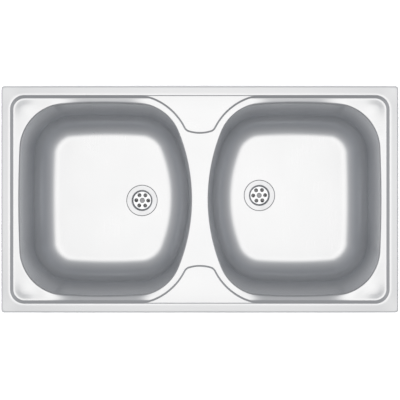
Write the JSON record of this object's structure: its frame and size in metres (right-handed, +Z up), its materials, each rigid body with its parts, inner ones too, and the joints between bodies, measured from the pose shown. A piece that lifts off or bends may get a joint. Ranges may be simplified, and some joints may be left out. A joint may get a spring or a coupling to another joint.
{
  "type": "kitchen sink",
  "caption": "Inset stainless kitchen sink with two bowls side by side, raised rim, strainer wastes and swing-out hold-down clamps.",
  "frame": {"origin": "middle of the worktop cut-out, at the worktop's top face, which the rim seal lies on", "axes": "+X along the sink's long side, to the right seen from the front; +Y to the rear; +Z up"},
  "size_m": [0.78, 0.445, 0.2105],
  "materials": {
    "sink_steel": "satin, fine brushed grain",
    "flange_steel": "polished",
    "screw_steel": "polished",
    "clamp_steel": "zinc plated",
    "clip_steel": "zinc plated, pressed",
    "brass": "turned",
    "seal_rubber": "matt",
    "seal_foam": "matt closed-cell strip",
    "pad_rubber": "matt damping pad",
    "waste_plastic": "satin moulded, black"
  },
  "bodies": {
    "root": {"deck": "sink_steel", "bowl_left": "sink_steel", "bowl_right": "sink_steel", "rim_seal": "seal_foam", "sound_pad_left": "pad_rubber", "sound_pad_right": "pad_rubber", "clamp_studs": "clamp_steel", "strainer_flange_left": "flange_steel", "grid_screw_left": "screw_steel", "flange_seal_left": "seal_rubber", "bowl_gasket_left": "seal_rubber", "waste_body_left": "waste_plastic", "screw_nut_left": "brass", "strainer_flange_right": "flange_steel", "grid_screw_right": "screw_steel", "flange_seal_right": "seal_rubber", "bowl_gasket_right": "seal_rubber", "waste_body_right": "waste_plastic", "screw_nut_right": "brass"},
    "washer_1": {"washer_1": "clamp_steel"},
    "clip_1": {"clip_1": "clip_steel"},
    "wing_nut_1": {"wing_nut_1": "clamp_steel"},
    "washer_2": {"washer_2": "clamp_steel"},
    "clip_2": {"clip_2": "clip_steel"},
    "wing_nut_2": {"wing_nut_2": "clamp_steel"},
    "washer_3": {"washer_3": "clamp_steel"},
    "clip_3": {"clip_3": "clip_steel"},
    "wing_nut_3": {"wing_nut_3": "clamp_steel"},
    "washer_4": {"washer_4": "clamp_steel"},
    "clip_4": {"clip_4": "clip_steel"},
    "wing_nut_4": {"wing_nut_4": "clamp_steel"},
    "washer_5": {"washer_5": "clamp_steel"},
    "clip_5": {"clip_5": "clip_steel"},
    "wing_nut_5": {"wing_nut_5": "clamp_steel"},
    "washer_6": {"washer_6": "clamp_steel"},
    "clip_6": {"clip_6": "clip_steel"},
    "wing_nut_6": {"wing_nut_6": "clamp_steel"},
    "washer_7": {"washer_7": "clamp_steel"},
    "clip_7": {"clip_7": "clip_steel"},
    "wing_nut_7": {"wing_nut_7": "clamp_steel"},
    "washer_8": {"washer_8": "clamp_steel"},
    "clip_8": {"clip_8": "clip_steel"},
    "wing_nut_8": {"wing_nut_8": "clamp_steel"}
  },
  "joints": [
    {"name": "clamp_lift_1", "type": "slide", "parent": "root", "child": "washer_1", "axis": [0, 0, 1], "range_m": [0, 0.02]},
    {"name": "clip_swing_1", "type": "hinge", "parent": "washer_1", "child": "clip_1", "pos_m": [0.358, 0.15, -0.0492], "axis": [0, 0, -1], "range_deg": [0, 90]},
    {"name": "nut_turn_1", "type": "hinge", "parent": "washer_1", "child": "wing_nut_1", "pos_m": [0.358, 0.15, -0.0492], "axis": [0, 0, 1], "range_deg": [0, 9000]},
    {"name": "clamp_lift_2", "type": "slide", "parent": "root", "child": "washer_2", "axis": [0, 0, 1], "range_m": [0, 0.02]},
    {"name": "clip_swing_2", "type": "hinge", "parent": "washer_2", "child": "clip_2", "pos_m": [0.358, -0.15, -0.0492], "axis": [0, 0, 1], "range_deg": [0, 90]},
    {"name": "nut_turn_2", "type": "hinge", "parent": "washer_2", "child": "wing_nut_2", "pos_m": [0.358, -0.15, -0.0492], "axis": [0, 0, 1], "range_deg": [0, 9000]},
    {"name": "clamp_lift_3", "type": "slide", "parent": "root", "child": "washer_3", "axis": [0, 0, 1], "range_m": [0, 0.02]},
    {"name": "clip_swing_3", "type": "hinge", "parent": "washer_3", "child": "clip_3", "pos_m": [-0.358, 0.15, -0.0492], "axis": [0, 0, 1], "range_deg": [0, 90]},
    {"name": "nut_turn_3", "type": "hinge", "parent": "washer_3", "child": "wing_nut_3", "pos_m": [-0.358, 0.15, -0.0492], "axis": [0, 0, 1], "range_deg": [0, 9000]},
    {"name": "clamp_lift_4", "type": "slide", "parent": "root", "child": "washer_4", "axis": [0, 0, 1], "range_m": [0, 0.02]},
    {"name": "clip_swing_4", "type": "hinge", "parent": "washer_4", "child": "clip_4", "pos_m": [-0.358, -0.15, -0.0492], "axis": [0, 0, -1], "range_deg": [0, 90]},
    {"name": "nut_turn_4", "type": "hinge", "parent": "washer_4", "child": "wing_nut_4", "pos_m": [-0.358, -0.15, -0.0492], "axis": [0, 0, 1], "range_deg": [0, 9000]},
    {"name": "clamp_lift_5", "type": "slide", "parent": "root", "child": "washer_5", "axis": [0, 0, 1], "range_m": [0, 0.02]},
    {"name": "clip_swing_5", "type": "hinge", "parent": "washer_5", "child": "clip_5", "pos_m": [0.07, 0.197, -0.0492], "axis": [0, 0, -1], "range_deg": [0, 90]},
    {"name": "nut_turn_5", "type": "hinge", "parent": "washer_5", "child": "wing_nut_5", "pos_m": [0.07, 0.197, -0.0492], "axis": [0, 0, 1], "range_deg": [0, 9000]},
    {"name": "clamp_lift_6", "type": "slide", "parent": "root", "child": "washer_6", "axis": [0, 0, 1], "range_m": [0, 0.02]},
    {"name": "clip_swing_6", "type": "hinge", "parent": "washer_6", "child": "clip_6", "pos_m": [-0.07, 0.197, -0.0492], "axis": [0, 0, 1], "range_deg": [0, 90]},
    {"name": "nut_turn_6", "type": "hinge", "parent": "washer_6", "child": "wing_nut_6", "pos_m": [-0.07, 0.197, -0.0492], "axis": [0, 0, 1], "range_deg": [0, 9000]},
    {"name": "clamp_lift_7", "type": "slide", "parent": "root", "child": "washer_7", "axis": [0, 0, 1], "range_m": [0, 0.02]},
    {"name": "clip_swing_7", "type": "hinge", "parent": "washer_7", "child": "clip_7", "pos_m": [0.07, -0.197, -0.0492], "axis": [0, 0, 1], "range_deg": [0, 90]},
    {"name": "nut_turn_7", "type": "hinge", "parent": "washer_7", "child": "wing_nut_7", "pos_m": [0.07, -0.197, -0.0492], "axis": [0, 0, 1], "range_deg": [0, 9000]},
    {"name": "clamp_lift_8", "type": "slide", "parent": "root", "child": "washer_8", "axis": [0, 0, 1], "range_m": [0, 0.02]},
    {"name": "clip_swing_8", "type": "hinge", "parent": "washer_8", "child": "clip_8", "pos_m": [-0.07, -0.197, -0.0492], "axis": [0, 0, -1], "range_deg": [0, 90]},
    {"name": "nut_turn_8", "type": "hinge", "parent": "washer_8", "child": "wing_nut_8", "pos_m": [-0.07, -0.197, -0.0492], "axis": [0, 0, 1], "range_deg": [0, 9000]}
  ],
  "couplings": [
    {"joint": "nut_turn_1", "follows": "clamp_lift_1", "rad_per_m": 7853.9},
    {"joint": "nut_turn_2", "follows": "clamp_lift_2", "rad_per_m": 7853.9},
    {"joint": "nut_turn_3", "follows": "clamp_lift_3", "rad_per_m": 7853.9},
    {"joint": "nut_turn_4", "follows": "clamp_lift_4", "rad_per_m": 7853.9},
    {"joint": "nut_turn_5", "follows": "clamp_lift_5", "rad_per_m": 7853.9},
    {"joint": "nut_turn_6", "follows": "clamp_lift_6", "rad_per_m": 7853.9},
    {"joint": "nut_turn_7", "follows": "clamp_lift_7", "rad_per_m": 7853.9},
    {"joint": "nut_turn_8", "follows": "clamp_lift_8", "rad_per_m": 7853.9}
  ]
}
